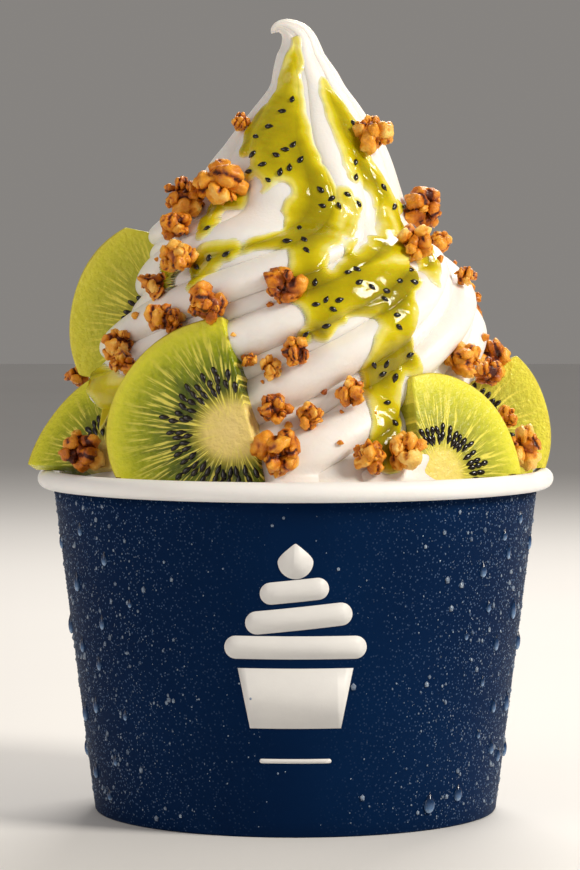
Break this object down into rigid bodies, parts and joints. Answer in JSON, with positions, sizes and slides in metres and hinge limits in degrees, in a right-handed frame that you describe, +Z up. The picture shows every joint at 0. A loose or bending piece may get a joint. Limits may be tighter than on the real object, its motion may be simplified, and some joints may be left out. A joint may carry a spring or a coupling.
{
  "type": "frozen yogurt cup",
  "caption": "Filled paper dessert cup: tapered wall with a rolled rim, piped swirl with a curled peak, part slices of kiwi round the rim and clusters of granola.",
  "frame": {"origin": "middle of the cup's foot, on the surface that it stands on", "axes": "+Z up along the cup's axis; -Y is the front, and the peak curls towards -X"},
  "size_m": [0.0993, 0.098, 0.15],
  "materials": {
    "printed_paper": "satin navy print on paper, with a bare white rolled rim",
    "white_board": "matt uncoated white board",
    "frozen_yogurt": "soft cream white with a light sheen, and a glossy yellow-green fruit sauce over part of it",
    "kiwi_flesh": "wet green fruit with a pale core and a ring of black seeds",
    "baked_granola": "glazed caramel brown"
  },
  "bodies": {
    "root": {"cup_wall": "printed_paper", "cup_base": "white_board", "yogurt": "frozen_yogurt", "kiwi_front_left": "kiwi_flesh", "kiwi_left_back": "kiwi_flesh", "kiwi_left_low": "kiwi_flesh", "kiwi_front_right": "kiwi_flesh", "kiwi_right_back": "kiwi_flesh", "kiwi_back_right": "kiwi_flesh", "kiwi_back_left": "kiwi_flesh", "granola_01": "baked_granola", "granola_02": "baked_granola", "granola_03": "baked_granola", "granola_04": "baked_granola", "granola_05": "baked_granola", "granola_06": "baked_granola", "granola_07": "baked_granola", "granola_08": "baked_granola", "granola_09": "baked_granola", "granola_10": "baked_granola", "granola_11": "baked_granola", "granola_12": "baked_granola", "granola_13": "baked_granola", "granola_14": "baked_granola", "granola_15": "baked_granola", "granola_16": "baked_granola", "granola_17": "baked_granola", "granola_18": "baked_granola", "granola_19": "baked_granola", "granola_20": "baked_granola", "granola_21": "baked_granola", "granola_22": "baked_granola", "granola_23": "baked_granola", "granola_24": "baked_granola", "granola_25": "baked_granola", "granola_26": "baked_granola", "granola_27": "baked_granola", "granola_28": "baked_granola", "granola_29": "baked_granola", "granola_30": "baked_granola", "granola_31": "baked_granola", "granola_32": "baked_granola", "granola_33": "baked_granola", "granola_34": "baked_granola", "granola_35": "baked_granola", "granola_36": "baked_granola", "granola_37": "baked_granola", "granola_38": "baked_granola", "granola_39": "baked_granola", "granola_40": "baked_granola", "granola_41": "baked_granola", "granola_42": "baked_granola"}
  },
  "joints": []
}
